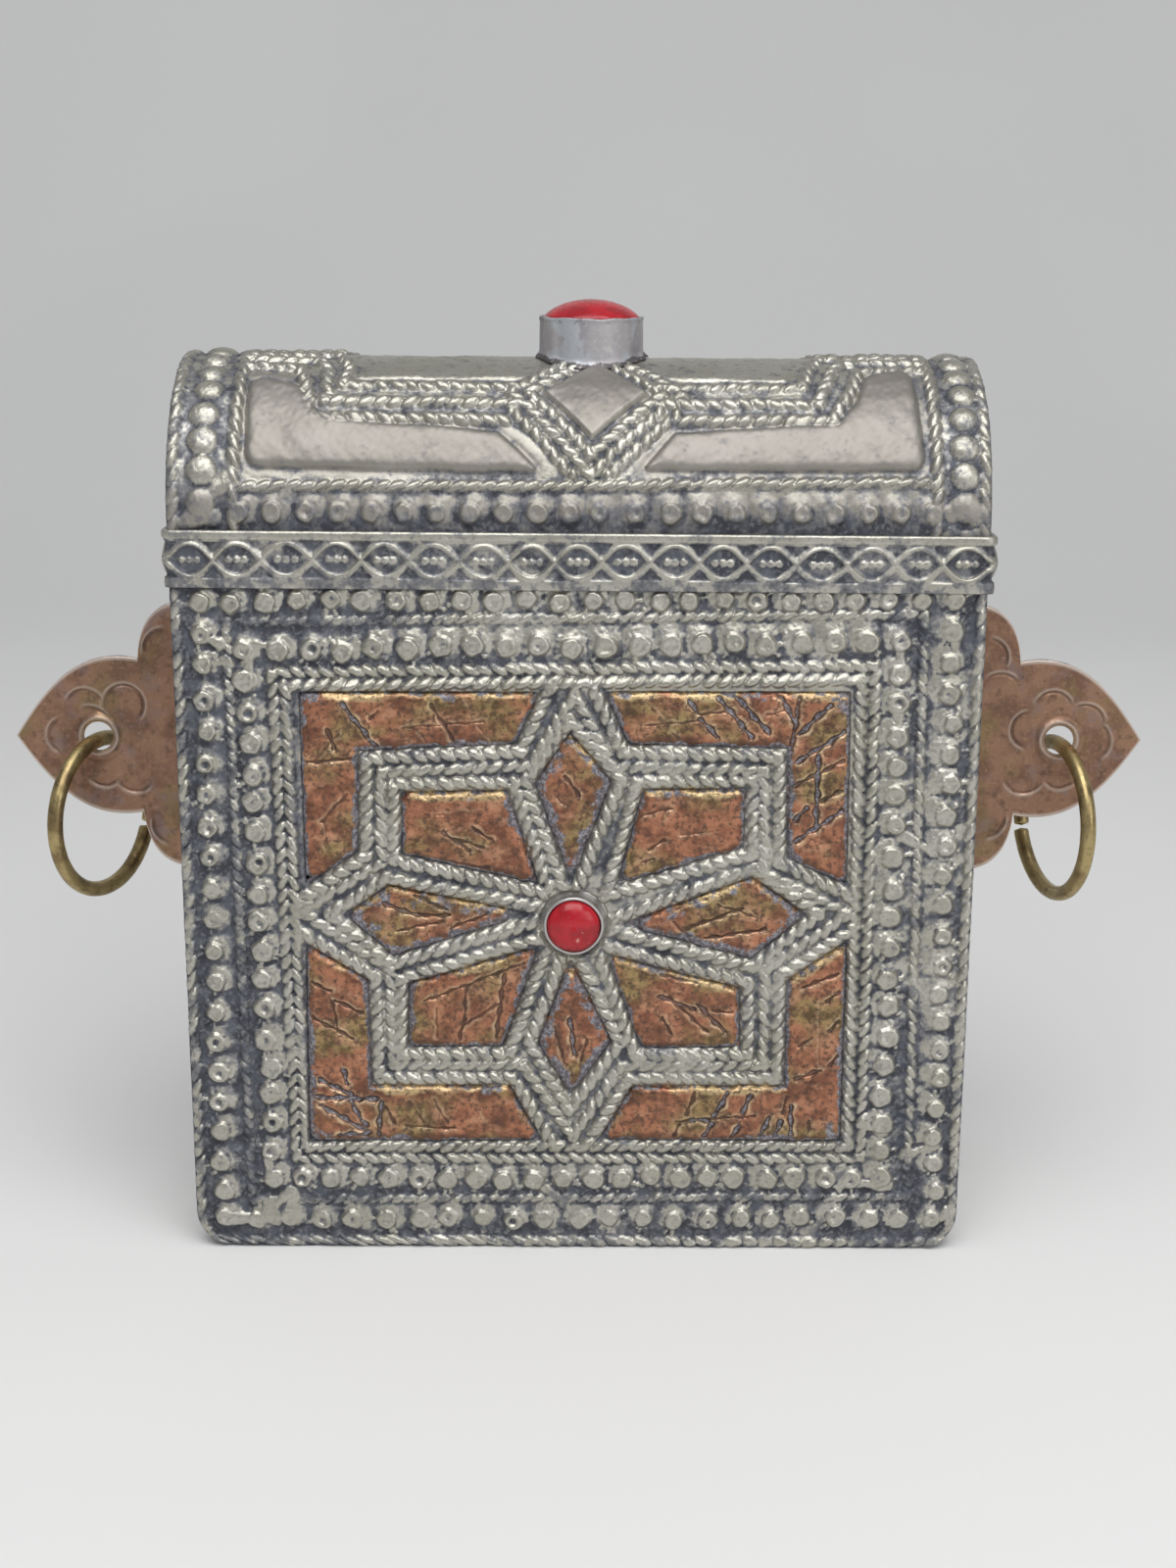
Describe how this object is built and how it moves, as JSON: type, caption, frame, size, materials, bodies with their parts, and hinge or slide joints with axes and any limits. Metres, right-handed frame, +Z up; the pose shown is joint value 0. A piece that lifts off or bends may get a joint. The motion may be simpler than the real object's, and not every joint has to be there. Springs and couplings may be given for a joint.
{
  "type": "amulet box",
  "caption": "Flat embossed metal amulet box with a barrel-shaped slip lid, a copper inlaid star on the front, red stones, and two side lugs with hanging rings.",
  "frame": {"origin": "middle of the casket's flat base, on the floor and at half the casket's depth", "axes": "X to the right as seen from the front, Y from the front to the back, Z up"},
  "size_m": [0.1856, 0.0538, 0.1512],
  "materials": {
    "embossed_nickel_silver": "embossed nickel-silver sheet, worn bright on top with dark patina in the hollows",
    "plain_nickel_silver": "plain nickel-silver sheet, satin with fine scratches and grey tarnish",
    "copper": "brown copper sheet with brassy patches and engraved scratches",
    "brass": "drawn brass wire, dull with bright edges",
    "red_glass": "opaque red glass cabochon, glossy and slightly chipped"
  },
  "bodies": {
    "casket": {"front_plate": "embossed_nickel_silver", "back_plate": "plain_nickel_silver", "side_wrap": "plain_nickel_silver", "inlay_corner_top_left": "copper", "inlay_corner_top_right": "copper", "inlay_corner_bottom_left": "copper", "inlay_corner_bottom_right": "copper", "inlay_quad_top_left": "copper", "inlay_quad_top_right": "copper", "inlay_quad_bottom_left": "copper", "inlay_quad_bottom_right": "copper", "inlay_kite_top": "copper", "inlay_kite_bottom": "copper", "inlay_kite_left": "copper", "inlay_kite_right": "copper", "front_bezel": "plain_nickel_silver", "front_cabochon": "red_glass", "lug_left": "copper", "lug_right": "copper"},
    "lid": {"lid_dome": "embossed_nickel_silver", "lid_end_left": "plain_nickel_silver", "lid_end_right": "plain_nickel_silver", "lid_band": "plain_nickel_silver", "lid_bezel": "plain_nickel_silver", "lid_cabochon": "red_glass"},
    "ring_left": {"ring_left": "brass"},
    "ring_right": {"ring_right": "brass"}
  },
  "joints": [
    {"name": "lid_lift", "type": "slide", "parent": "casket", "child": "lid", "axis": [0, 0, 1], "range_m": [0, 0.06]},
    {"name": "ring_left_swing", "type": "hinge", "parent": "casket", "child": "ring_left", "pos_m": [-0.0792, 0, 0.07945], "axis": [0.4226, 0.9063, 0], "range_deg": [-15, 180]},
    {"name": "ring_right_swing", "type": "hinge", "parent": "casket", "child": "ring_right", "pos_m": [0.0792, 0, 0.07945], "axis": [0.2419, -0.9703, 0], "range_deg": [-15, 180]}
  ]
}
